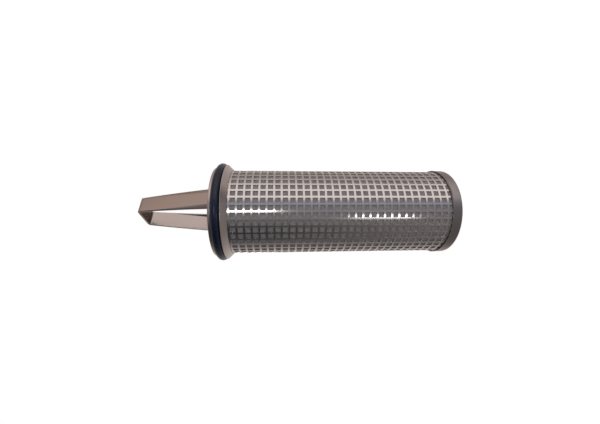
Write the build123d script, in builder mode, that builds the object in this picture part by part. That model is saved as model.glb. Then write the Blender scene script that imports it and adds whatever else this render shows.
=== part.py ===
"""Hydraulic filter element with a lifting bail: perforated tube, seal flange, pleated pack and two end caps.

Millimetres. +Z runs up the element's axis, from the closed bottom cap that it stands on to the bail.
The origin is the centre of the bottom cap's underside. The bail's two legs stand at +X and -X.
"""

import math
import os

from build123d import *

os.makedirs("parts", exist_ok=True)

# Driving sizes of the whole element
tube_radius = 44.0
tube_wall = 1.0
bail_top = 321.0
sheet = 0.9
fit_gap = 0.1

# Heights of the places where the pieces meet
cap_height = 10.0
shoulder_start = 227.4
plate_seat = 241.0
lip_front = 244.7

# Perforation: square holes in straight rows, about twice the real 7 mm pitch, with the open area kept
hole_rows = 18
hole_columns = 14
hole_share = 0.71

# Bottom cap: a pressed cup whose middle is pushed up, clear of what it stands on
dish_rise = 3.0
dish_radius = 19.0

# Flange ring: coned shoulder, groove and lip
shoulder_edge = 44.6
shoulder_radius = 50.0
groove_floor = 45.0
groove_low = 233.0
groove_high = 242.2
lip_radius = 47.0

# Seal ring: a round cord, given flats here
seal_cord_radius = 4.2
seal_outer = 51.5
seal_flats = 8

# Top plate and its collared bore
bore_radius = 21.0
plate_thickness = 1.6
collar_wall = 1.2
collar_length = 9.0

# Core tube inside the pack, with slots in every second flat
core_facets = 12
core_wall = 0.8
core_slot_rows = 6
core_slots = 4
slot_width = 7.5
slot_share = 0.8

# Pleated pack: the medium and the fine mesh on its inner side, folded as one
medium_layer = 0.8
mesh_layer = 0.25
pleat_count = 22
pleat_foot = 24.9
pleat_crest = 40.8
foot_share = 0.25
crest_share = 0.14
bond_depth = 6.0
clip_sheet = 0.5
clip_depth = 6.0
clip_width = 8.0

# Bail: one bent strip, arched across its legs where they stand on the top plate
strip = 2.0
foot_radius = 33.4
foot_width = 22.0
crease_share = 0.6
tip_half_spacing = 14.3
tip_width = 16.0
bail_bend = 2.2
arch_height = 314.0

# Values worked out from the sizes above
facet_angle = 360 / hole_rows
facet_cos = math.cos(math.pi / hole_rows)
facet_width = 2 * tube_radius * math.sin(math.pi / hole_rows)
hole_size = facet_width * hole_share
tube_inner_corner = tube_radius - tube_wall / facet_cos
sleeve_inner_corner = tube_inner_corner - mesh_layer / facet_cos
perforation_middle = (cap_height + shoulder_start) / 2
socket_radius = tube_radius + fit_gap
cap_radius = socket_radius + sheet
plate_top = plate_seat + plate_thickness
pack_floor = sheet + bond_depth
pack_ceiling = plate_seat - bond_depth
pack_height = pack_ceiling - pack_floor
core_cos = math.cos(math.pi / core_facets)
core_inner_corner = (bore_radius + collar_wall + fit_gap) / core_cos
core_corner = core_inner_corner + core_wall / core_cos
slot_pitch = pack_height / core_slots
pleat_angle = 360 / pleat_count


def pleat_line(set_off):
    """The closed line along the middle of the folded medium, moved outwards by set_off with sharp folds."""
    line = []
    for fold in range(pleat_count):
        for radius, share in (
            (pleat_foot, -foot_share),
            (pleat_foot, foot_share),
            (pleat_crest, 0.5 - crest_share),
            (pleat_crest, 0.5 + crest_share),
        ):
            line.append(Vector(radius, 0).rotate(Axis.Z, (fold + share) * pleat_angle))
    moved = []
    for before, point, after in zip(line[-1:] + line[:-1], line, line[1:] + line[:1]):
        normal_in = (point - before).normalized().rotate(Axis.Z, -90)
        normal_out = (after - point).normalized().rotate(Axis.Z, -90)
        mitre = (normal_in + normal_out) / (1 + normal_in.dot(normal_out))
        moved.append(point + mitre * set_off)
    return moved


# Outer tube: rolled perforated sheet, flat between its folds, with a row of holes along each flat
with BuildPart() as outer_tube:
    with BuildSketch(Plane.XY.offset(sheet)):
        RegularPolygon(radius=tube_radius, side_count=hole_rows)
        RegularPolygon(radius=tube_inner_corner, side_count=hole_rows, mode=Mode.SUBTRACT)
    extrude(amount=plate_seat - sheet)
    for row in range(hole_rows // 2):
        outward = Vector(1, 0, 0).rotate(Axis.Z, facet_angle * (row + 0.5))
        with BuildSketch(Plane(origin=(0, 0, perforation_middle), x_dir=(0, 0, 1), z_dir=outward)):
            with GridLocations(hole_size / hole_share, 0, hole_columns, 1):
                Rectangle(hole_size, hole_size)
        extrude(amount=tube_radius, both=True, mode=Mode.SUBTRACT)

# Mesh sleeve: fine wire cloth wrapped against the inside of the tube
with BuildPart() as mesh_sleeve:
    with BuildSketch(Plane.XY.offset(pack_floor)):
        RegularPolygon(radius=tube_inner_corner, side_count=hole_rows)
        RegularPolygon(radius=sleeve_inner_corner, side_count=hole_rows, mode=Mode.SUBTRACT)
    extrude(amount=pack_height)

# Filter medium: one sheet folded into a star, its folds flat at foot and crest
with BuildPart() as filter_medium:
    with BuildSketch(Plane.XY.offset(pack_floor)):
        with BuildLine():
            Polyline(pleat_line(medium_layer / 2), close=True)
        make_face()
        with BuildLine():
            Polyline(pleat_line(-medium_layer / 2), close=True)
        make_face(mode=Mode.SUBTRACT)
    extrude(amount=pack_height)

# Inner mesh: the fine cloth that is folded with the medium and lies on its inner side
with BuildPart() as inner_mesh:
    with BuildSketch(Plane.XY.offset(pack_floor)):
        with BuildLine():
            Polyline(pleat_line(-medium_layer / 2), close=True)
        make_face()
        with BuildLine():
            Polyline(pleat_line(-medium_layer / 2 - mesh_layer), close=True)
        make_face(mode=Mode.SUBTRACT)
    extrude(amount=pack_height)

# Seam clip: a folded strip that grips the crest where the pack's two ends meet
with BuildPart() as seam_clip:
    with BuildSketch(Plane.XY.offset(pack_floor)):
        with BuildLine():
            Polyline(pleat_line(medium_layer / 2 + clip_sheet), close=True)
        make_face()
        with BuildLine():
            Polyline(pleat_line(medium_layer / 2), close=True)
        make_face(mode=Mode.SUBTRACT)
        with PolarLocations(pleat_crest, 1, start_angle=pleat_angle / 2):
            Rectangle(2 * clip_depth, clip_width, mode=Mode.INTERSECT)
    extrude(amount=pack_height)

# Core tube: it keeps the pack's feet apart and passes the oil outwards through its slots
with BuildPart() as core_tube:
    with BuildSketch(Plane.XY.offset(sheet)):
        RegularPolygon(radius=core_corner, side_count=core_facets)
        RegularPolygon(radius=core_inner_corner, side_count=core_facets, mode=Mode.SUBTRACT)
    extrude(amount=plate_seat - sheet)
    for row in range(core_slot_rows // 2):
        outward = Vector(1, 0, 0).rotate(Axis.Z, 360 / core_slot_rows * row + 180 / core_facets)
        with BuildSketch(Plane(origin=(0, 0, pack_floor + pack_height / 2), x_dir=(0, 0, 1), z_dir=outward)):
            with GridLocations(slot_pitch, 0, core_slots, 1):
                Rectangle(slot_pitch * slot_share, slot_width)
        extrude(amount=core_corner, both=True, mode=Mode.SUBTRACT)

# Bonds: cast rings of adhesive that hold the tube, the pack and the core at each end
with BuildPart() as bottom_bond:
    with BuildSketch(Plane.XY.offset(sheet)):
        RegularPolygon(radius=tube_inner_corner, side_count=hole_rows)
        RegularPolygon(radius=core_corner, side_count=core_facets, mode=Mode.SUBTRACT)
    extrude(amount=bond_depth)

with BuildPart() as top_bond:
    with BuildSketch(Plane.XY.offset(pack_ceiling)):
        RegularPolygon(radius=tube_inner_corner, side_count=hole_rows)
        RegularPolygon(radius=core_corner, side_count=core_facets, mode=Mode.SUBTRACT)
    extrude(amount=bond_depth)

# Bottom cap: a cup pressed from sheet, its skirt outside the tube
with BuildPart() as bottom_cap:
    with BuildSketch(Plane.XZ):
        with BuildLine():
            Polyline(
                (0, dish_rise),
                (dish_radius, dish_rise),
                (dish_radius, 0),
                (cap_radius, 0),
                (cap_radius, cap_height),
                (socket_radius, cap_height),
                (socket_radius, sheet),
                (dish_radius + sheet, sheet),
                (dish_radius + sheet, dish_rise + sheet),
                (0, dish_rise + sheet),
                close=True,
            )
        make_face()
    revolve(axis=Axis.Z)

# Flange ring: a turned ring with the seal's groove, a coned shoulder below it and a lip in front
with BuildPart() as flange_ring:
    with BuildSketch(Plane.XZ):
        with BuildLine():
            Polyline(
                (socket_radius, shoulder_start),
                (shoulder_edge, shoulder_start),
                (shoulder_radius, groove_low),
                (groove_floor, groove_low),
                (groove_floor, groove_high),
                (lip_radius, groove_high),
                (lip_radius, lip_front),
                (socket_radius, lip_front),
                close=True,
            )
        make_face()
    revolve(axis=Axis.Z)

# Seal ring: a rubber cord ring stretched into the groove and flattened on its floor
with BuildPart() as seal_ring:
    with BuildSketch(Plane.XZ):
        with Locations((seal_outer - seal_cord_radius, (groove_low + groove_high) / 2)):
            RegularPolygon(radius=seal_cord_radius, side_count=seal_flats, major_radius=False, rotation=180 / seal_flats)
        with Locations((groove_floor - seal_cord_radius, (groove_low + groove_high) / 2)):
            Rectangle(2 * seal_cord_radius, 3 * seal_cord_radius, mode=Mode.SUBTRACT)
    revolve(axis=Axis.Z)

# Top plate: pressed into the flange ring, its bore drawn down as a collar into the core tube
with BuildPart() as top_plate:
    with BuildSketch(Plane.XZ):
        with BuildLine():
            Polyline(
                (bore_radius, plate_top),
                (socket_radius, plate_top),
                (socket_radius, plate_seat),
                (bore_radius + collar_wall, plate_seat),
                (bore_radius + collar_wall, plate_top - collar_length),
                (bore_radius, plate_top - collar_length),
                close=True,
            )
        make_face()
    revolve(axis=Axis.Z)

# Bail: arched legs that flatten on the way up, and a bridge with rounded bends between them
lean = Vector(tip_half_spacing - foot_radius, 0, bail_top - plate_top).normalized()
across = Vector(lean.Z, 0, -lean.X)
half_arch = math.degrees(math.asin(foot_width / 2 / foot_radius))
arch_middle = foot_radius - strip / 2 + lean.X / lean.Z * (arch_height - plate_top)
tip_middle = foot_radius - strip / 2 + lean.X / lean.Z * (bail_top - strip / 2 - plate_top)
foot_outside = [
    Vector(foot_radius, 0, plate_top).rotate(Axis.Z, half_arch * share)
    for share in (-1, -crease_share, crease_share, 1)
]
foot_inside = [point - Vector(point.X, point.Y) * (strip / foot_radius) for point in foot_outside]
head_middle = [Vector(arch_middle, tip_width / 2 * turn, arch_height) for turn in (-1, 1)]
head_outside = [point + across * (strip / 2) for point in head_middle]
head_inside = [point - across * (strip / 2) for point in head_middle]
leg_faces = [foot_outside + foot_inside[::-1], head_outside + head_inside[::-1]]
for foot, head in ((foot_outside, head_outside), (foot_inside, head_inside)):
    leg_faces.append([foot[0], foot[1], head[0]])
    leg_faces.append([foot[1], foot[2], head[1], head[0]])
    leg_faces.append([foot[2], foot[3], head[1]])
for end in (0, -1):
    leg_faces.append([foot_outside[end], foot_inside[end], head_outside[end]])
    leg_faces.append([foot_inside[end], head_inside[end], head_outside[end]])
leg = Solid(Shell([Face(Wire.make_polygon(corners)) for corners in leg_faces]))

with BuildPart() as bail:
    add(leg)
    add(leg.rotate(Axis.Z, 180))
    with BuildSketch(Plane.XZ):
        with BuildLine():
            FilletPolyline(
                (arch_middle, arch_height),
                (tip_middle, bail_top - strip / 2),
                (-tip_middle, bail_top - strip / 2),
                (-arch_middle, arch_height),
                radius=bail_bend,
            )
        trace(line_width=strip)
    extrude(amount=tip_width / 2, both=True)

pieces = {
    "outer_tube": outer_tube,
    "mesh_sleeve": mesh_sleeve,
    "filter_medium": filter_medium,
    "inner_mesh": inner_mesh,
    "seam_clip": seam_clip,
    "core_tube": core_tube,
    "bottom_bond": bottom_bond,
    "top_bond": top_bond,
    "bottom_cap": bottom_cap,
    "flange_ring": flange_ring,
    "seal_ring": seal_ring,
    "top_plate": top_plate,
    "bail": bail,
}
for name, piece in pieces.items():
    piece.part.label = name
    export_step(piece.part, f"parts/{name}.step")
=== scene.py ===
# %% [markdown]
# A filter element for a hydraulic return line. Oil enters through the open top, flows outwards through a
# pleated pack and leaves through a tube full of square holes. This lesson dresses the engineering model
# of the element for a photograph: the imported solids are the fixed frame, and every piece is put exactly
# where its solid is.

# %% Load the frame
import math

import bmesh
import bpy
import numpy as np
from mathutils import Matrix, Vector


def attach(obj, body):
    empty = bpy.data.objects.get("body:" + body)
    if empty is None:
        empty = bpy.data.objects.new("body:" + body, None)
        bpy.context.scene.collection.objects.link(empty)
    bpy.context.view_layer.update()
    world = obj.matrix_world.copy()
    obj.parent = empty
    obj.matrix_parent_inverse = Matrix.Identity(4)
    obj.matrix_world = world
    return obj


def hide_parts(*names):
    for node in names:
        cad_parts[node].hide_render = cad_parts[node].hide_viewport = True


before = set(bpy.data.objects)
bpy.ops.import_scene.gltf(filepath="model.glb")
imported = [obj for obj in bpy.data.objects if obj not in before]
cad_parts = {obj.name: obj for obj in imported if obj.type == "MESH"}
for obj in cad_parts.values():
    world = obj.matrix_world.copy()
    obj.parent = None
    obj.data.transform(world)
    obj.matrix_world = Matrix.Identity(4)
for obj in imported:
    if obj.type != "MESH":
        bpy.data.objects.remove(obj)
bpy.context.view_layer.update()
MM = 0.001
print("nodes:", sorted(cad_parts))

# %% [markdown]
# The photograph looks at the element from the side while it lies down, so the picture's left is the
# element's +Z. The camera was found by fitting the curved edges of the flange and the cap. It stands
# about 30 cm from the axis with a wide lens, which is why both ends bulge. Its three axes are worked out
# from three small turns.

# %% Directions round the element's axis
CAMERA_SIDE = math.radians(-25.0)
TOWARDS = Vector((math.cos(CAMERA_SIDE), math.sin(CAMERA_SIDE), 0))
PICTURE_UP = Vector((-math.sin(CAMERA_SIDE), math.cos(CAMERA_SIDE), 0))
AXIS = Vector((0, 0, 1))

# %% The camera
YAW, PITCH, ROLL = (math.radians(angle) for angle in (3.964, -0.025, -0.195))
FOCAL_PIXELS = 276.32
PICTURE_WIDTH = 600
SENSOR = 36.0

turn = Matrix.Rotation(ROLL, 3, "Z") @ Matrix.Rotation(PITCH, 3, "X") @ Matrix.Rotation(-YAW, 3, "Y")
world_of = Matrix((-AXIS, -PICTURE_UP, -TOWARDS)).transposed()
right, down, forward = (world_of @ row for row in turn)
place = TOWARDS * 302.8 - PICTURE_UP * 0.6 + AXIS * 177.5

lens = bpy.data.cameras.new("photo_camera")
lens.sensor_width = SENSOR
lens.lens = FOCAL_PIXELS / PICTURE_WIDTH * SENSOR
lens.clip_start = 0.01
camera = bpy.data.objects.new("photo_camera", lens)
bpy.context.collection.objects.link(camera)
camera.matrix_world = Matrix.Translation(place * MM) @ Matrix((right, -down, -forward)).transposed().to_4x4()
bpy.context.scene.camera = camera
print("lens", round(lens.lens, 2), "mm; camera at", [round(value, 1) for value in place])

# %% [markdown]
# Colours are written as the hex values that a paint chart gives, and one function turns them into the
# linear numbers that the renderer works with. One more function adds a node to a material with its
# settings and links, so that each recipe below reads as a list.

# %% Colours and nodes
def colour(text):
    """The linear colour of an sRGB hex value: a straight line near black and a power of 2.4 above it."""
    channels = np.array([int(text[k : k + 2], 16) for k in (0, 2, 4)]) / 255
    linear = np.where(channels <= 0.04045, channels / 12.92, ((channels + 0.055) / 1.055) ** 2.4)
    return (*linear.tolist(), 1.0)


def add(tree, kind, inputs=(), **settings):
    """Adds one node. Settings are its own properties, and inputs pairs a socket with a value or a socket."""
    node = tree.nodes.new(kind)
    for key, value in settings.items():
        setattr(node, key, value)
    for key, value in dict(inputs).items():
        socket = node.inputs[key]
        if isinstance(value, bpy.types.NodeSocket):
            tree.links.new(value, socket)
        else:
            socket.default_value = value
    return node


def start(name):
    """A new material: its tree, its shader and the object coordinates in metres."""
    material = bpy.data.materials.new(name)
    material.use_nodes = True
    tree = material.node_tree
    return material, tree, tree.nodes["Principled BSDF"], add(tree, "ShaderNodeTexCoord").outputs["Object"]


def dress(tree, shader, values):
    """Sets or links the shader's sockets by name."""
    for key, value in values.items():
        if isinstance(value, bpy.types.NodeSocket):
            tree.links.new(value, shader.inputs[key])
        else:
            shader.inputs[key].default_value = value


def spread(tree, factor, low, high):
    """Maps a factor from 0 to 1 onto a range of numbers."""
    return add(tree, "ShaderNodeMapRange", {"Value": factor, "To Min": low, "To Max": high}).outputs["Result"]


def tint(tree, factor, first, second):
    """Mixes two hex colours by a factor."""
    mix = add(tree, "ShaderNodeMix", {0: factor}, data_type="RGBA")
    mix.inputs[6].default_value = colour(first)
    mix.inputs[7].default_value = colour(second)
    return mix.outputs[2]


# %% [markdown]
# Most of the element is thin steel sheet. Rolling leaves fine streaks along the sheet, turning leaves
# them round the piece, and hands leave soft smudges a couple of centimetres wide. Streaks are noise that
# is stretched a lot along one direction. They vary the roughness and the height, and only slightly the
# colour, because bare steel shows its surroundings more than its own tone. The real streaks are a few
# hundredths of a millimetre wide, finer than a pixel, so they are drawn at a few tenths.

# %% Bare metal sheet
def around(tree, where):
    """Coordinates for turned marks: distance from the axis, height, and nothing that changes round it."""
    flat = add(tree, "ShaderNodeVectorMath", {0: where, 1: (1, 1, 0)}, operation="MULTIPLY").outputs[0]
    reach = add(tree, "ShaderNodeVectorMath", {0: flat}, operation="LENGTH").outputs["Value"]
    height = add(tree, "ShaderNodeSeparateXYZ", {0: where}).outputs["Z"]
    return add(tree, "ShaderNodeCombineXYZ", {"X": reach, "Y": height}).outputs[0]


def bare_metal(name, light, dark, rough, streak_mm, turned=False, dent=0.012):
    """Steel or aluminium with streaks of streak_mm = (x, y, z) size, and smudges of 22 mm."""
    material, tree, shader, where = start(name)
    basis = around(tree, where) if turned else where
    stretched = add(
        tree, "ShaderNodeMapping", {"Vector": basis, "Scale": [1 / (size * MM) for size in streak_mm]}
    ).outputs[0]
    streak = add(tree, "ShaderNodeTexNoise", {"Vector": stretched, "Scale": 1.0, "Detail": 4.0}).outputs["Fac"]
    smudge = add(
        tree, "ShaderNodeTexNoise", {"Vector": where, "Scale": 1 / (22 * MM), "Detail": 3.0}
    ).outputs["Fac"]
    both = add(tree, "ShaderNodeMath", {0: streak, 1: smudge}, operation="ADD").outputs[0]
    half = add(tree, "ShaderNodeMath", {0: both, 1: 0.5}, operation="MULTIPLY").outputs[0]
    bump = add(tree, "ShaderNodeBump", {"Height": streak, "Strength": 0.35, "Distance": dent * MM})
    dress(
        tree,
        shader,
        {
            "Base Color": tint(tree, half, dark, light),
            "Metallic": 1.0,
            "Roughness": spread(tree, half, rough[0], rough[1]),
            "Normal": bump.outputs[0],
        },
    )
    return material


tube_steel = bare_metal("cold rolled stainless sheet", "E8E2E0", "D8D2D0", (0.12, 0.24), (0.25, 0.25, 9.0))
cap_steel = bare_metal("pressed steel, satin", "B0A8A6", "9C9595", (0.26, 0.42), (0.3, 0.3, 0.3), turned=True)
flange_metal = bare_metal("turned aluminium", "DCD2CE", "C8BEBA", (0.24, 0.38), (0.25, 0.25, 0.25), turned=True)
strip_steel = bare_metal("cold rolled strip steel", "C6BBB5", "B4A9A3", (0.12, 0.22), (0.3, 0.3, 14.0))
weld_metal = bare_metal("weld bead, brushed", "A8A19B", "807A76", (0.3, 0.5), (0.8, 0.8, 0.8), dent=0.05)
core_steel = bare_metal("galvanised sheet", "AEB0B2", "8C8F92", (0.3, 0.5), (2.5, 2.5, 2.5))

# %% [markdown]
# Behind the square holes lies fine wire cloth, which is what gives each hole its even matte grey. The
# real wires are about a tenth of a millimetre thick. Here they stand 0.9 mm apart, so that a near view
# shows a weave, and they are counted round the axis by angle and along it by height.

# %% Woven wire cloth
SLEEVE_RADIUS = 42.9
WIRE_PITCH = 0.9


def wave(tree, factor, count):
    """A wire's rounded height, from 0 to 1: the absolute sine of pi times the count of wires."""
    turns = add(tree, "ShaderNodeMath", {0: factor, 1: math.pi * count}, operation="MULTIPLY").outputs[0]
    sine = add(tree, "ShaderNodeMath", {0: turns}, operation="SINE").outputs[0]
    return add(tree, "ShaderNodeMath", {0: sine}, operation="ABSOLUTE").outputs[0]


def wire_cloth(name):
    """Stainless wires over and under each other. Their colour follows the wire height: the gaps and the wires' sides
    are painted darker as shade and the crests lighter, mottled by a random fleck.
    """
    material, tree, shader, where = start(name)
    parts = add(tree, "ShaderNodeSeparateXYZ", {0: where}).outputs
    angle = add(tree, "ShaderNodeMath", {0: parts["Y"], 1: parts["X"]}, operation="ARCTAN2").outputs[0]
    wires_round = round(2 * math.pi * SLEEVE_RADIUS / WIRE_PITCH)
    upright = wave(tree, angle, wires_round / (2 * math.pi))
    level = wave(tree, parts["Z"], 1 / (WIRE_PITCH * MM))
    top = add(tree, "ShaderNodeMath", {0: upright, 1: level}, operation="MAXIMUM").outputs[0]
    fleck = add(tree, "ShaderNodeTexNoise", {"Vector": where, "Scale": 1 / (3 * MM), "Detail": 3.0}).outputs["Fac"]
    # Painted shade: the colour darkens from the wire crests into the gaps, times a random fleck.
    shade = add(tree, "ShaderNodeMath", {0: top, 1: fleck}, operation="MULTIPLY").outputs[0]
    bump = add(tree, "ShaderNodeBump", {"Height": top, "Strength": 0.5, "Distance": 0.15 * MM})
    dress(
        tree,
        shader,
        {
            "Base Color": tint(tree, shade, "8C8A8B", "E4E1E0"),
            "Metallic": 0.0,
            "Roughness": spread(tree, fleck, 0.6, 0.8),
            "Normal": bump.outputs[0],
        },
    )
    return material


cloth_steel = wire_cloth("woven stainless wire cloth")

# %% [markdown]
# The seal is nitrile rubber, moulded and lightly oiled: nearly black, smooth enough to mirror a lamp softly,
# with a fine grain from its mould. Its faint blue cast is a painted reflection of a bluish sheen. The filter
# medium is glass fibre paper, and the pack is cast into a dark epoxy at both ends. Both of these can only be
# seen by looking down the bore.

# %% Rubber, paper and epoxy
def grainy(name, light, dark, rough, grain_mm, dent_mm, **more):
    """A surface with one even grain: noise of grain_mm in colour, roughness and height."""
    material, tree, shader, where = start(name)
    grain = add(
        tree, "ShaderNodeTexNoise", {"Vector": where, "Scale": 1 / (grain_mm * MM), "Detail": 4.0}
    ).outputs["Fac"]
    bump = add(tree, "ShaderNodeBump", {"Height": grain, "Strength": 0.4, "Distance": dent_mm * MM})
    dress(
        tree,
        shader,
        {
            "Base Color": tint(tree, grain, dark, light),
            "Roughness": spread(tree, grain, rough[0], rough[1]),
            "Normal": bump.outputs[0],
            **more,
        },
    )
    return material


# Painted reflection: the blue in the seal's colours stands for a bluish sheen; the rubber itself is nearly black.
nitrile = grainy("moulded nitrile rubber", "1E3052", "121C34", (0.22, 0.34), 1.5, 0.01)
paper = grainy("glass fibre paper", "E6E2D6", "CFCABC", (0.8, 0.95), 1.2, 0.08)
epoxy = grainy("cast epoxy", "3A3430", "26221F", (0.3, 0.5), 4.0, 0.05)
print("materials:", [material.name for material in bpy.data.materials])

# %% [markdown]
# Every new shape is a grid of points worked out with numpy. The maker below merges the points that
# coincide, such as the pole of a cap, closes the grid into a mesh, turns its faces outwards, shades it
# smoothly and keeps an edge sharp where the surface turns by more than a set angle.

# %% From points to a piece
def grid_faces(rows, columns, wrap_rows, wrap_columns):
    """The corner numbers of every square between neighbouring grid points, as one array of four columns."""
    i = np.arange(rows if wrap_rows else rows - 1)[:, None]
    j = np.arange(columns if wrap_columns else columns - 1)[None, :]
    i_next, j_next = (i + 1) % rows, (j + 1) % columns
    corners = (i * columns + j, i_next * columns + j, i_next * columns + j_next, i * columns + j_next)
    return np.stack([corner.ravel() for corner in corners], axis=1)


def piece(name, points, faces, material, slot, *nodes, sharp=38, caps=()):
    """Points in millimetres and faces become a piece that stands for the named nodes of the frame. Caps are
    extra faces of any number of corners.
    """
    mesh = bpy.data.meshes.new(name)
    mesh.from_pydata((np.asarray(points) * MM).tolist(), [], faces.tolist() + list(caps))
    work = bmesh.new()
    work.from_mesh(mesh)
    bmesh.ops.remove_doubles(work, verts=work.verts, dist=1e-6)
    bmesh.ops.recalc_face_normals(work, faces=work.faces)
    work.to_mesh(mesh)
    work.free()
    mesh.shade_smooth()
    mesh.set_sharp_from_angle(angle=math.radians(sharp))
    mesh.materials.append(material)
    made = bpy.data.objects.new(name, mesh)
    bpy.context.collection.objects.link(made)
    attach(made, "root")
    if nodes:
        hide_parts(*nodes)
    print(name, len(mesh.vertices), "points,", len(mesh.polygons), "faces")
    return made


# %% [markdown]
# Caps, plate and flange are turned or pressed, so they are profiles carried round the axis. No pressed
# edge is truly sharp. Each corner of a profile is therefore eased: a short parabola leaves one side
# before the corner and joins the next side after it.

# %% Turned pieces
ROUND_STEPS = 240


def eased(corners, closed, steps=7):
    """Corners are (radius, height, easing) in millimetres. With u from 0 to 1, each corner becomes the corner
    plus (1 - u) squared times the way back along one side plus u squared times the way on along the next.
    """
    table = np.array(corners, float)
    at, easing = table[:, :2], table[:, 2:]
    back = np.roll(at, 1, axis=0) - at
    onward = np.roll(at, -1, axis=0) - at
    back_length = np.linalg.norm(back, axis=1, keepdims=True)
    onward_length = np.linalg.norm(onward, axis=1, keepdims=True)
    reach = np.minimum(easing, 0.48 * np.minimum(back_length, onward_length))
    if not closed:
        reach[[0, -1]] = 0
    u = np.linspace(0, 1, steps)[None, :, None]
    to_back = (back / back_length * reach)[:, None]
    to_onward = (onward / onward_length * reach)[:, None]
    return (at[:, None] + (1 - u) ** 2 * to_back + u**2 * to_onward).reshape(-1, 2)


def revolve(profile, closed=True):
    """Each profile point (radius, height) goes to radius times (cosine, sine) of the angle, and its height."""
    angle = np.arange(ROUND_STEPS) * 2 * np.pi / ROUND_STEPS
    radius, height = profile[:, :1], profile[:, 1:]
    points = np.stack(
        [radius * np.cos(angle), radius * np.sin(angle), np.broadcast_to(height, (len(profile), ROUND_STEPS))],
        axis=2,
    )
    return points.reshape(-1, 3), grid_faces(len(profile), ROUND_STEPS, closed, True)


# %% [markdown]
# The bottom cap is a cup pressed from 0.9 mm sheet. Its skirt goes over the tube and its mouth is belled
# a little, which leaves the thin dark line beside the holes. The middle of its underside is pushed in,
# so that the element stands on a ring.

# %% Bottom cap
TUBE_RADIUS = 44.0
CAP_RADIUS = 45.0
CAP_HEIGHT = 10.0
bottom_cap = piece(
    "end_cap",
    *revolve(
        eased(
            [
                (0, 3.0, 0),
                (18.2, 3.0, 1.2),
                (19.8, 0.0, 1.4),
                (CAP_RADIUS, 0.0, 1.5),
                (CAP_RADIUS, 8.8, 0.5),
                (45.3, CAP_HEIGHT, 0.15),
                (44.7, CAP_HEIGHT, 0.1),
                (44.12, 8.8, 0.4),
                (44.12, 0.9, 0.6),
                (20.4, 0.9, 0.8),
                (18.8, 3.9, 0.8),
                (0, 3.9, 0),
            ],
            closed=False,
        ),
        closed=False,
    ),
    cap_steel,
    "cap_steel",
    "bottom_cap",
)

# %% [markdown]
# The flange ring carries the seal. Going up, it starts as a thin edge on the tube, opens in a 45 degree
# cone, forms the groove for the seal and ends in a lip whose front edge is rounded.

# %% Flange ring
SHOULDER_START = 227.4
GROOVE_FLOOR = 45.0
GROOVE_LOW = 233.0
GROOVE_HIGH = 242.2
LIP_FRONT = 244.7
flange = piece(
    "seal_flange",
    *revolve(
        eased(
            [
                (44.12, SHOULDER_START, 0.1),
                (44.6, SHOULDER_START, 0.15),
                (49.8, GROOVE_LOW - 0.5, 0.25),
                (50.0, GROOVE_LOW - 0.2, 0.15),
                (49.9, GROOVE_LOW, 0.1),
                (GROOVE_FLOOR, GROOVE_LOW, 0.3),
                (GROOVE_FLOOR, GROOVE_HIGH, 0.3),
                (47.1, GROOVE_HIGH, 0.25),
                (46.8, LIP_FRONT, 1.0),
                (44.12, LIP_FRONT, 0.4),
            ],
            closed=True,
        )
    ),
    flange_metal,
    "flange_metal",
    "flange_ring",
)

# %% [markdown]
# The seal is a cord of 8.4 mm bent into a ring. Stretched into its groove, it lies flat on the groove's
# floor and stays round outside. Its section is a circle whose points are held back at the floor.

# %% Seal ring
CORD_RADIUS = 4.2
SEAL_OUTER = 51.5
section = np.linspace(0, 2 * np.pi, 48, endpoint=False)
cord_radius = np.maximum(SEAL_OUTER - CORD_RADIUS + CORD_RADIUS * np.cos(section), GROOVE_FLOOR + 0.02)
cord_height = (GROOVE_LOW + GROOVE_HIGH) / 2 + CORD_RADIUS * np.sin(section)
seal = piece(
    "cord_seal", *revolve(np.stack([cord_radius, cord_height], axis=1)), nitrile, "seal_rubber", "seal_ring", sharp=60
)

# %% [markdown]
# The top plate closes the pack's open end. Its bore is drawn downwards, so the mouth is a smooth roll of
# the sheet and not an edge.

# %% Top plate
BORE_RADIUS = 21.0
PLATE_TOP = 242.6
PLATE_SEAT = 241.0
plate = piece(
    "collared_plate",
    *revolve(
        eased(
            [
                (BORE_RADIUS, PLATE_TOP, 2.6),
                (44.0, PLATE_TOP, 0.3),
                (44.0, PLATE_SEAT, 0.3),
                (22.2, PLATE_SEAT, 1.4),
                (22.2, 233.6, 0.3),
                (BORE_RADIUS, 233.6, 0.3),
            ],
            closed=True,
        )
    ),
    cap_steel,
    "cap_steel",
    "top_plate",
)

# %% [markdown]
# The tube is rolled from sheet that was punched with 5 mm square holes on a 7 mm pitch: 39 rows go round,
# and the columns run on under both end pieces. Cutting 1,300 holes with a boolean would be slow and
# untidy. Instead the wall is a grid whose lines fall on the edges of the holes. Squares of the grid that
# lie in a hole are left out, and a wall is put wherever a kept square meets a left-out one.

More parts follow.
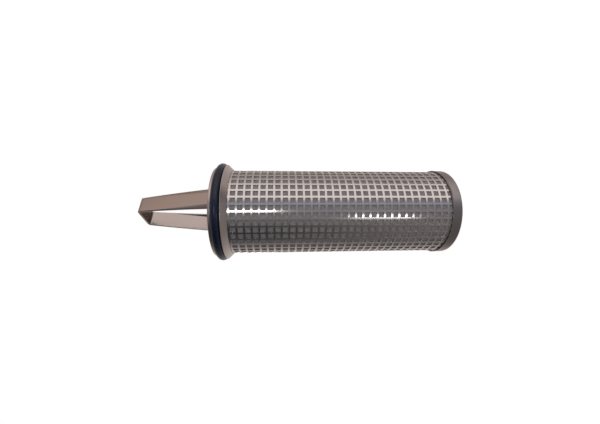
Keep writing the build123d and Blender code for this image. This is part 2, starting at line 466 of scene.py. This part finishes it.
# %% A wall with square holes
def perforated(outer, wall, low, high, rows, first_row, hole_angle, pitch, hole, first_hole):
    """A tube from low to high. Hole number k lies at first_row plus k times a full turn over rows, and its
    height at first_hole plus a whole number of pitches. All lengths are millimetres, all angles radians.
    """
    step = 2 * np.pi / rows
    angles = (first_row + step * np.arange(rows)[:, None] + hole_angle / 2 * np.array([-1, 0, 1])).ravel()
    columns = np.arange(math.ceil((low + hole - first_hole) / pitch), (high - hole - first_hole) // pitch + 1)
    edges = (first_hole + pitch * columns[:, None] + hole / 2 * np.array([-1, 1])).ravel()
    heights = np.concatenate([[low], edges, [high]])
    in_row = (np.arange(len(angles)) % 3) < 2
    in_column = (np.arange(len(heights) - 1) % 2) == 1
    kept = ~(in_column[:, None] & in_row[None, :])

    h, a = np.meshgrid(heights, angles, indexing="ij")
    shells = [np.stack([r * np.cos(a), r * np.sin(a), h], axis=2).reshape(-1, 3) for r in (outer, outer - wall)]
    inside = len(shells[0])
    squares = grid_faces(len(heights), len(angles), False, True)
    kept_squares = squares[kept.ravel()]

    number = np.arange(inside).reshape(h.shape)
    across = kept != np.roll(kept, 1, axis=1)
    i, j = np.nonzero(across)
    sides = np.stack([number[i, j], number[i + 1, j], number[i + 1, j] + inside, number[i, j] + inside], axis=1)
    bounded = np.vstack([np.zeros_like(kept[:1]), kept, np.zeros_like(kept[:1])])
    i, j = np.nonzero(bounded[1:] != bounded[:-1])
    after = (j + 1) % len(angles)
    ends = np.stack([number[i, j], number[i, after], number[i, after] + inside, number[i, j] + inside], axis=1)
    print("holes:", rows, "rows of", len(columns))
    return np.vstack(shells), np.vstack([kept_squares, kept_squares + inside, sides, ends])


def punched_edge(tube, width):
    """A punch rounds the edge of its hole, and a narrow bevel there catches the light."""
    bevel = tube.modifiers.new("punched edge", "BEVEL")
    bevel.width = width * MM
    bevel.segments = 1
    bevel.limit_method = "ANGLE"
    bevel.angle_limit = math.radians(50)


# %% Outer tube
HOLE_ROWS = 39
HOLE_PITCH = 7.065
HOLE_SIZE = 5.0
FIRST_BAR = 226.1
row_step = 2 * math.pi / HOLE_ROWS
tube = piece(
    "perforated_tube",
    *perforated(
        outer=TUBE_RADIUS,
        wall=1.0,
        low=1.0,
        high=240.9,
        rows=HOLE_ROWS,
        first_row=CAMERA_SIDE - math.radians(4.45),
        hole_angle=HOLE_SIZE / TUBE_RADIUS,
        pitch=HOLE_PITCH,
        hole=HOLE_SIZE,
        first_hole=FIRST_BAR - HOLE_PITCH / 2,
    ),
    tube_steel,
    "tube_steel",
    "outer_tube",
)
punched_edge(tube, 0.07)

# %% [markdown]
# The core is the same idea on a smaller tube with wider holes. It is only seen down the bore. The wire
# cloth between the two is a thin sleeve against the inside of the outer tube.

# %% Core and sleeve
core = piece(
    "core_tube_round",
    *perforated(
        outer=23.1,
        wall=0.8,
        low=1.0,
        high=240.9,
        rows=12,
        first_row=0.0,
        hole_angle=7.0 / 23.1,
        pitch=11.0,
        hole=7.0,
        first_hole=120.0,
    ),
    core_steel,
    "sheet_steel",
    "core_tube",
)
sleeve_profile = [
    (SLEEVE_RADIUS, 6.9, 0.05),
    (SLEEVE_RADIUS, 235.0, 0.05),
    (SLEEVE_RADIUS - 0.25, 235.0, 0.05),
    (SLEEVE_RADIUS - 0.25, 6.9, 0.05),
]
sleeve = piece(
    "wire_cloth_sleeve", *revolve(eased(sleeve_profile, closed=True)), cloth_steel, "wire_cloth", "mesh_sleeve"
)

# %% [markdown]
# The bail is one strip of 2 mm steel. Its grip is flat, but its legs stand on the round flange, so each
# leg is folded along two long creases: a flat middle and, on both sides, a narrow triangle that widens
# towards the foot and turns with the circle. The shape is a section carried along a path: the path is the
# strip's middle line with eased bends, and the section's creases drift outwards and fade on the way up.
# The strip was bent by hand, and its grip is turned a few degrees from its feet.

# %% Path of the bail
STRIP = 2.0
FOOT_RADIUS = 33.4
FOOT_WIDTH = 22.0
TIP_WIDTH = 16.0
BAIL_TOP = 321.0
TIP_HALF_SPACING = 14.3
TIP_TWIST = math.radians(6.0)
lean = (TIP_HALF_SPACING - FOOT_RADIUS) / (BAIL_TOP - PLATE_TOP)
foot_middle = FOOT_RADIUS - STRIP / 2
grip_height = BAIL_TOP - STRIP / 2
tip_middle = foot_middle + lean * (grip_height - PLATE_TOP)
bend_line = eased(
    [
        (foot_middle, PLATE_TOP, 0),
        (tip_middle, grip_height, 2.4),
        (-tip_middle, grip_height, 2.4),
        (-foot_middle, PLATE_TOP, 0),
    ],
    closed=False,
    steps=11,
)
run = np.concatenate([[0], np.cumsum(np.linalg.norm(np.diff(bend_line, axis=0), axis=1))])
leg_length = math.hypot(foot_middle - tip_middle, grip_height - PLATE_TOP)
stations = np.unique(np.round(np.concatenate([run, np.linspace(0, run[-1], 60)]), 3))
path = np.stack([np.interp(stations, run, bend_line[:, k]) for k in (0, 1)], axis=1)
heading = np.gradient(path, stations, axis=0)
heading /= np.linalg.norm(heading, axis=1, keepdims=True)
outward = np.stack([heading[:, 1], -heading[:, 0]], axis=1)
up_leg = np.clip(np.minimum(stations, run[-1] - stations) / leg_length, 0, 1)[:, None]

# %% Section of the bail
EDGE = 0.5
CREASE_SHARE = 0.52
CREASE_EASE = 0.6
half_arch = math.asin(FOOT_WIDTH / 2 / FOOT_RADIUS)
foot_crease = FOOT_RADIUS * math.sin(CREASE_SHARE * half_arch)
foot_slope = math.tan((1 + CREASE_SHARE) / 2 * half_arch)
half_width = (FOOT_WIDTH + (TIP_WIDTH - FOOT_WIDTH) * up_leg) / 2 - EDGE
crease = foot_crease + (TIP_WIDTH / 2 - foot_crease) * up_leg
one_side = np.minimum(
    np.concatenate(
        [0 * crease, crease / 2, crease - CREASE_EASE, crease, crease + CREASE_EASE, (crease + half_width) / 2], axis=1
    ),
    half_width,
)
one_side = np.concatenate([one_side, half_width], axis=1)
flat_side = np.concatenate([-one_side[:, :0:-1], one_side], axis=1)
corner_turn = np.linspace(0, np.pi / 2, 5)[None, :]
sine, cosine = EDGE * np.sin(corner_turn), EDGE * np.cos(corner_turn)
ease = STRIP / 2 - EDGE
across = np.concatenate(
    [
        flat_side,
        half_width + sine,
        half_width + cosine,
        flat_side[:, ::-1],
        -half_width - sine,
        -half_width - cosine,
    ],
    axis=1,
)
out_by = np.concatenate(
    [0 * flat_side + STRIP / 2]
    + [0 * half_width + ease + cosine, 0 * half_width - ease - sine]
    + [0 * flat_side - STRIP / 2]
    + [0 * half_width - ease - cosine, 0 * half_width + ease + sine],
    axis=1,
)
past_crease = np.abs(across) - crease
eased_part = np.clip(past_crease + CREASE_EASE, 0, 2 * CREASE_EASE) ** 2 / (4 * CREASE_EASE)
fold = foot_slope * (eased_part + np.maximum(past_crease - CREASE_EASE, 0))
foot_drop = FOOT_RADIUS * (1 - math.cos(CREASE_SHARE * half_arch))
offset = out_by - foot_drop * (1 - up_leg) - fold

# %% Bail
x = path[:, :1] + outward[:, :1] * offset
z = path[:, 1:] + outward[:, 1:] * offset
z[[0, -1]] = PLATE_TOP
twist = TIP_TWIST * up_leg
bail_points = np.stack([x * np.cos(twist) - across * np.sin(twist), x * np.sin(twist) + across * np.cos(twist), z], axis=2)
count, loop = across.shape
bail = piece(
    "lifting_bail",
    bail_points.reshape(-1, 3),
    grid_faces(count, loop, False, True),
    strip_steel,
    "bail_steel",
    "bail",
    sharp=60,
    caps=[list(range(loop)), [count * loop - 1 - k for k in range(loop)]],
)

# %% [markdown]
# Both feet are welded to the top plate. A weld bead is a low ridge with a ripple from each stroke of the
# torch: a small circle carried along the foot's outer and inner line, whose radius goes up and down.

# %% Weld beads
BEAD = 1.1
RIPPLE = 0.12
sweep = np.linspace(-0.94 * half_arch, 0.94 * half_arch, 120)
bead_turn = np.linspace(0, 2 * np.pi, 12, endpoint=False)
bead_sets, bead_faces = [], []
for side in (0.0, math.pi):
    for line_radius in (FOOT_RADIUS + 0.2, FOOT_RADIUS - STRIP - 0.2):
        along, around_bead = np.meshgrid(sweep, bead_turn, indexing="ij")
        taper = np.sqrt(np.clip(1 - (along / half_arch) ** 8, 0, 1))
        thick = (BEAD + RIPPLE * np.sin(along * line_radius * 2 * np.pi / 1.3)) * taper
        reach = line_radius + thick * np.cos(around_bead)
        bead = np.stack(
            [reach * np.cos(along + side), reach * np.sin(along + side), PLATE_TOP + thick * np.sin(around_bead)], axis=2
        )
        bead_faces.append(grid_faces(*along.shape, False, True) + len(bead_sets) * along.size)
        bead_sets.append(bead.reshape(-1, 3))
bead_caps = [[k * 1440 + j for j in range(12)] for k in range(4)]
bead_caps += [[k * 1440 + 1439 - j for j in range(12)] for k in range(4)]
welds = piece("foot_welds", np.vstack(bead_sets), np.vstack(bead_faces), weld_metal, "bail_steel", caps=bead_caps)

# %% [markdown]
# The pieces inside keep their solids, because their shapes are right as they are. They only get their
# finishes.

# %% Finishes for the pieces that stay
inner_finishes = {
    "filter_medium": paper,
    "inner_mesh": cloth_steel,
    "seam_clip": core_steel,
    "bottom_bond": epoxy,
    "top_bond": epoxy,
}
for node_name, finish in inner_finishes.items():
    for material_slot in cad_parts[node_name].material_slots:
        material_slot.material = finish

# %% [markdown]
# Bright metal is mostly a picture of the room, so the room has to be right before the metal can be. The
# photograph's tube shows it unrolled: a bright ceiling above, a bluish window band just above the
# camera, a dark stretch below it and a pale table underneath. The world here is that room as a strip of
# colours round the element's axis. Towards both ends of the axis it fades to an even grey.

# %% The room
world = bpy.data.worlds.new("studio")
bpy.context.scene.world = world
world.use_nodes = True
sky = world.node_tree
sky.nodes.clear()
look = add(sky, "ShaderNodeTexCoord").outputs["Generated"]
to_camera = add(sky, "ShaderNodeVectorMath", {0: look, 1: TOWARDS}, operation="DOT_PRODUCT").outputs["Value"]
to_up = add(sky, "ShaderNodeVectorMath", {0: look, 1: PICTURE_UP}, operation="DOT_PRODUCT").outputs["Value"]
to_end = add(sky, "ShaderNodeVectorMath", {0: look, 1: AXIS}, operation="DOT_PRODUCT").outputs["Value"]
turned_by = add(sky, "ShaderNodeMath", {0: to_up, 1: to_camera}, operation="ARCTAN2").outputs[0]
strip_place = add(
    sky, "ShaderNodeMapRange", {"Value": turned_by, "From Min": -math.pi, "From Max": math.pi}
).outputs["Result"]
ROOM = [
    (-174, "3C3A3A"),
    (-168, "DCD6D2"),
    (-145, "CCC6C2"),
    (-115, "9C9693"),
    (-96, "767274"),
    (-86, "4A4A4C"),
    (-74, "38383A"),
    (-45, "343438"),
    (-36, "4A4A4E"),
    (-28, "68686C"),
    (-8, "7E7E84"),
    (10, "84848C"),
    (15, "8A8C9A"),
    (29, "A0A2AE"),
    (35, "F4ECEA"),
    (72, "EEE6E3"),
    (86, "CCC4C1"),
    (105, "B0A8A5"),
    (125, "ACA4A1"),
    (150, "C8C0BC"),
    (168, "D0C8C4"),
    (174, "3C3A3A"),
]
ramp = add(sky, "ShaderNodeValToRGB", {"Fac": strip_place})
ramp.color_ramp.elements.remove(ramp.color_ramp.elements[1])
for degrees, tone in ROOM:
    mark = ramp.color_ramp.elements.new(degrees / 360 + 0.5)
    mark.color = colour(tone)
ramp.color_ramp.elements.remove(ramp.color_ramp.elements[0])


def towards_end(value, first, last):
    """How far a direction has turned towards one end of the axis, eased from 0 at first to 1 at last."""
    node = add(sky, "ShaderNodeMapRange", {"Value": value, "From Min": first, "From Max": last})
    node.interpolation_type = "SMOOTHSTEP"
    return node.outputs["Result"]


warm = add(sky, "ShaderNodeMix", {0: towards_end(to_end, 0.25, 0.65)}, data_type="RGBA")
warm.inputs[6].default_value = (1, 1, 1, 1)
warm.inputs[7].default_value = colour("D8CCC6")
warmed = add(sky, "ShaderNodeMix", {0: 1.0, 6: ramp.outputs["Color"], 7: warm.outputs[2]}, data_type="RGBA")
warmed.blend_type = "MULTIPLY"
hazed = add(sky, "ShaderNodeMix", {0: towards_end(to_end, 0.15, -0.85), 6: warmed.outputs[2]}, data_type="RGBA")
hazed.blend_type = "LIGHTEN"
hazed.inputs[7].default_value = colour("827E7C")
below = add(sky, "ShaderNodeMix", {0: towards_end(to_end, -0.88, -0.97), 6: hazed.outputs[2]}, data_type="RGBA")
below.inputs[7].default_value = colour("848080")
above = add(sky, "ShaderNodeMix", {0: towards_end(to_end, 0.76, 0.92), 6: below.outputs[2]}, data_type="RGBA")
above.inputs[7].default_value = colour("9A9490")
DOORWAY = TOWARDS * 0.22 + PICTURE_UP * 0.5 - AXIS * 0.84
to_doorway = add(sky, "ShaderNodeVectorMath", {0: look, 1: DOORWAY}, operation="DOT_PRODUCT").outputs["Value"]
in_doorway = towards_end(to_doorway, math.cos(math.radians(17)), math.cos(math.radians(12)))
room = add(sky, "ShaderNodeMix", {0: in_doorway, 6: above.outputs[2]}, data_type="RGBA")
room.inputs[7].default_value = colour("2E2C2C")
is_camera = add(sky, "ShaderNodeLightPath").outputs["Is Camera Ray"]
seen = add(sky, "ShaderNodeMix", {0: is_camera, 6: room.outputs[2]}, data_type="RGBA")
seen.inputs[7].default_value = (1, 1, 1, 1)
glow = add(sky, "ShaderNodeBackground", {"Color": seen.outputs[2], "Strength": 1.0})
sky_end = add(sky, "ShaderNodeOutputWorld", {"Surface": glow.outputs[0]})

# %% [markdown]
# The floor is plain and pale. To the camera it is white, and it still darkens where the element keeps
# light from it. It is left out of what the metal mirrors, because the photograph's room has none there.

# %% Floor
FLOOR_HALF = 3000.0
floor_mesh = bpy.data.meshes.new("floor")
floor_corners = np.array([[-1, -1, 0], [1, -1, 0], [1, 1, 0], [-1, 1, 0]]) * FLOOR_HALF - [0, 0, 0.05]
floor_mesh.from_pydata((floor_corners * MM).tolist(), [], [[0, 1, 2, 3]])
floor = bpy.data.objects.new("floor", floor_mesh)
bpy.context.collection.objects.link(floor)
floor.visible_glossy = False
floor_material, floor_tree, floor_shader, floor_where = start("pale floor")
floor_tree.nodes.remove(floor_shader)
matte = add(floor_tree, "ShaderNodeBsdfDiffuse", {"Color": colour("BEBEBE")})
lift = add(floor_tree, "ShaderNodeEmission", {"Color": (1, 1, 1, 1)})
floor_seen = add(floor_tree, "ShaderNodeLightPath").outputs["Is Camera Ray"]
lift_strength = add(floor_tree, "ShaderNodeMath", {0: floor_seen, 1: 0.9}, operation="MULTIPLY").outputs[0]
floor_tree.links.new(lift_strength, lift.inputs["Strength"])
summed = add(floor_tree, "ShaderNodeAddShader", {0: matte.outputs[0], 1: lift.outputs[0]})
floor_tree.links.new(summed.outputs[0], floor_tree.nodes["Material Output"].inputs["Surface"])
floor_mesh.materials.append(floor_material)

# %% [markdown]
# Two narrow lamps near the camera give the white lines that break along the tube, one over each half.

# %% Lamps
def strip_lamp(name, hit, lift_angle, distance, size, power):
    """A lamp seen in the tube at height hit: it stands where the camera's ray goes after it meets the wall."""
    normal = TOWARDS * math.cos(lift_angle) + PICTURE_UP * math.sin(lift_angle)
    at = normal * TUBE_RADIUS + AXIS * hit
    ray = (at - place).normalized()
    bounced = ray - 2 * ray.dot(normal) * normal
    light = bpy.data.lights.new(name, "AREA")
    light.shape = "RECTANGLE"
    light.size, light.size_y = size[0] * MM, size[1] * MM
    light.energy = power
    lamp = bpy.data.objects.new(name, light)
    bpy.context.collection.objects.link(lamp)
    lamp.visible_camera = False
    z_axis = bounced.normalized()
    x_axis = AXIS.cross(z_axis).normalized()
    y_axis = z_axis.cross(x_axis)
    spot = at + bounced * distance
    lamp.matrix_world = Matrix.Translation(spot * MM) @ Matrix((x_axis, y_axis, z_axis)).transposed().to_4x4()
    print(name, [round(value) for value in spot])


strip_lamp("left lamp", 212.0, math.radians(1.3), 420.0, (38.0, 150.0), 0.1)
strip_lamp("right lamp", 80.0, math.radians(-6.2), 190.0, (22.0, 95.0), 0.03)

# %% Colour handling
bpy.context.scene.view_settings.view_transform = "Standard"
